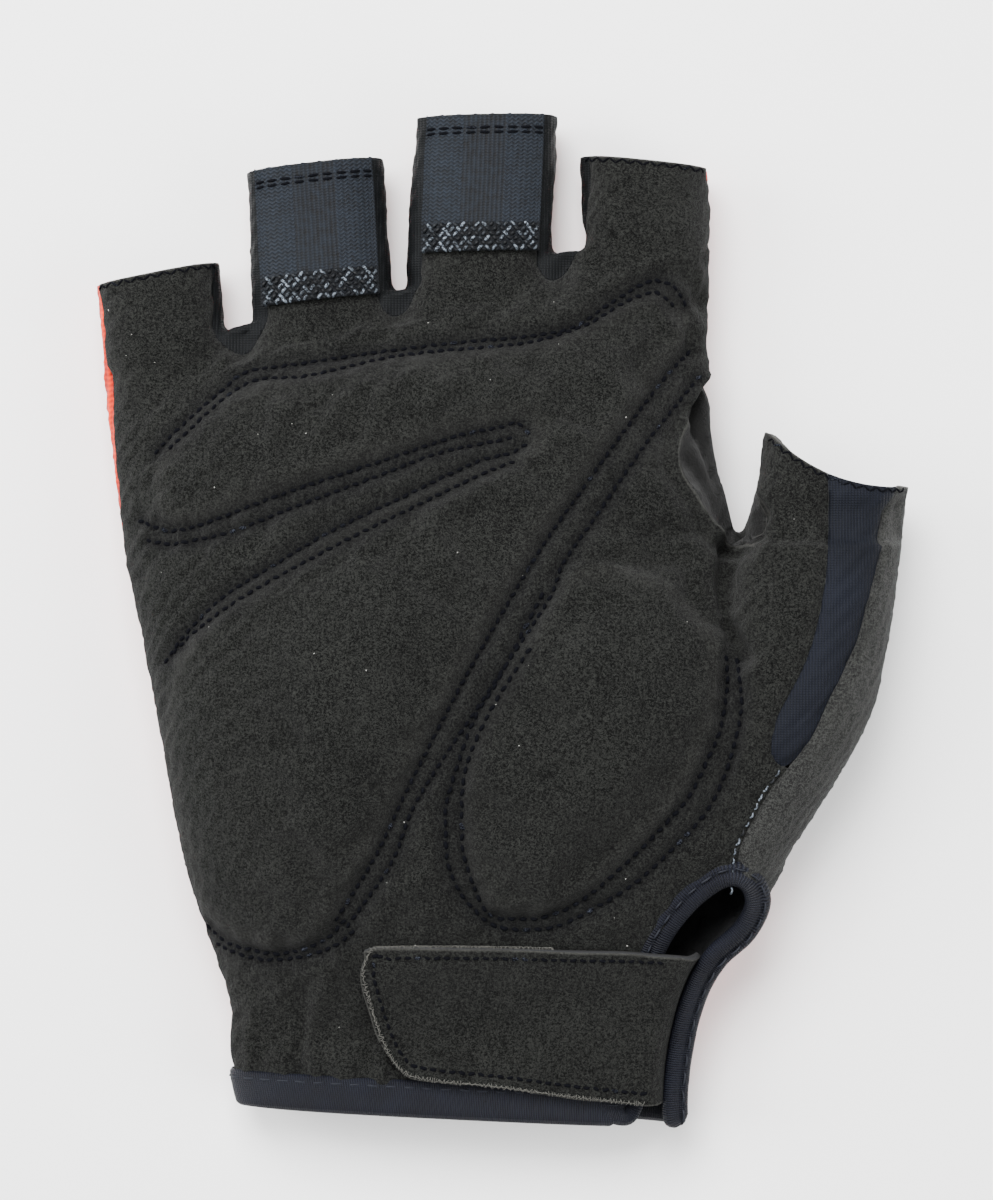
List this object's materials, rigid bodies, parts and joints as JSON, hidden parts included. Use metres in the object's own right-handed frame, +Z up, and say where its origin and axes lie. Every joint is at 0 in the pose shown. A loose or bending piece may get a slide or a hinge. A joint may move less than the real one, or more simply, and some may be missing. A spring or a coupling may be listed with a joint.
{
  "type": "short-finger cycling glove",
  "caption": "Right-hand fingerless cycling glove lying palm up, with a padded suede-like palm, stretch strips between the fingers, pull tabs, a bound wrist slit and a wrist strap.",
  "frame": {"origin": "on the surface that the glove lies on, under the middle of its bounding box", "axes": "+X from the little finger to the thumb, +Y from the wrist to the fingertips, +Z up out of the palm"},
  "size_m": [0.1312, 0.1644, 0.0286],
  "materials": {
    "palm_suede": "matt synthetic suede, near black",
    "pale_suede": "matt synthetic suede, dark grey with a green cast",
    "back_cloth": "smooth stretch cloth, red-orange",
    "side_stretch": "smooth stretch knit with a slight sheen, black",
    "ribbed_knit": "fine knit, dark navy grey",
    "binding_tape": "ribbed stretch tape, navy black",
    "webbing": "woven webbing, grey navy with darker middle band",
    "hook_plastic": "fine plastic hooks, dark"
  },
  "bodies": {
    "root": {"palm_panel": "palm_suede", "wrist_strap": "palm_suede", "thumb_back": "pale_suede", "back_panel": "back_cloth", "fourchette_little_ring": "side_stretch", "fourchette_ring_middle": "side_stretch", "fourchette_middle_index": "side_stretch", "thumb_stretch_strip": "ribbed_knit", "cuff_binding": "binding_tape", "slit_binding": "binding_tape", "pull_tab_ring": "webbing", "pull_tab_middle": "webbing", "hook_patch": "hook_plastic"}
  },
  "joints": []
}
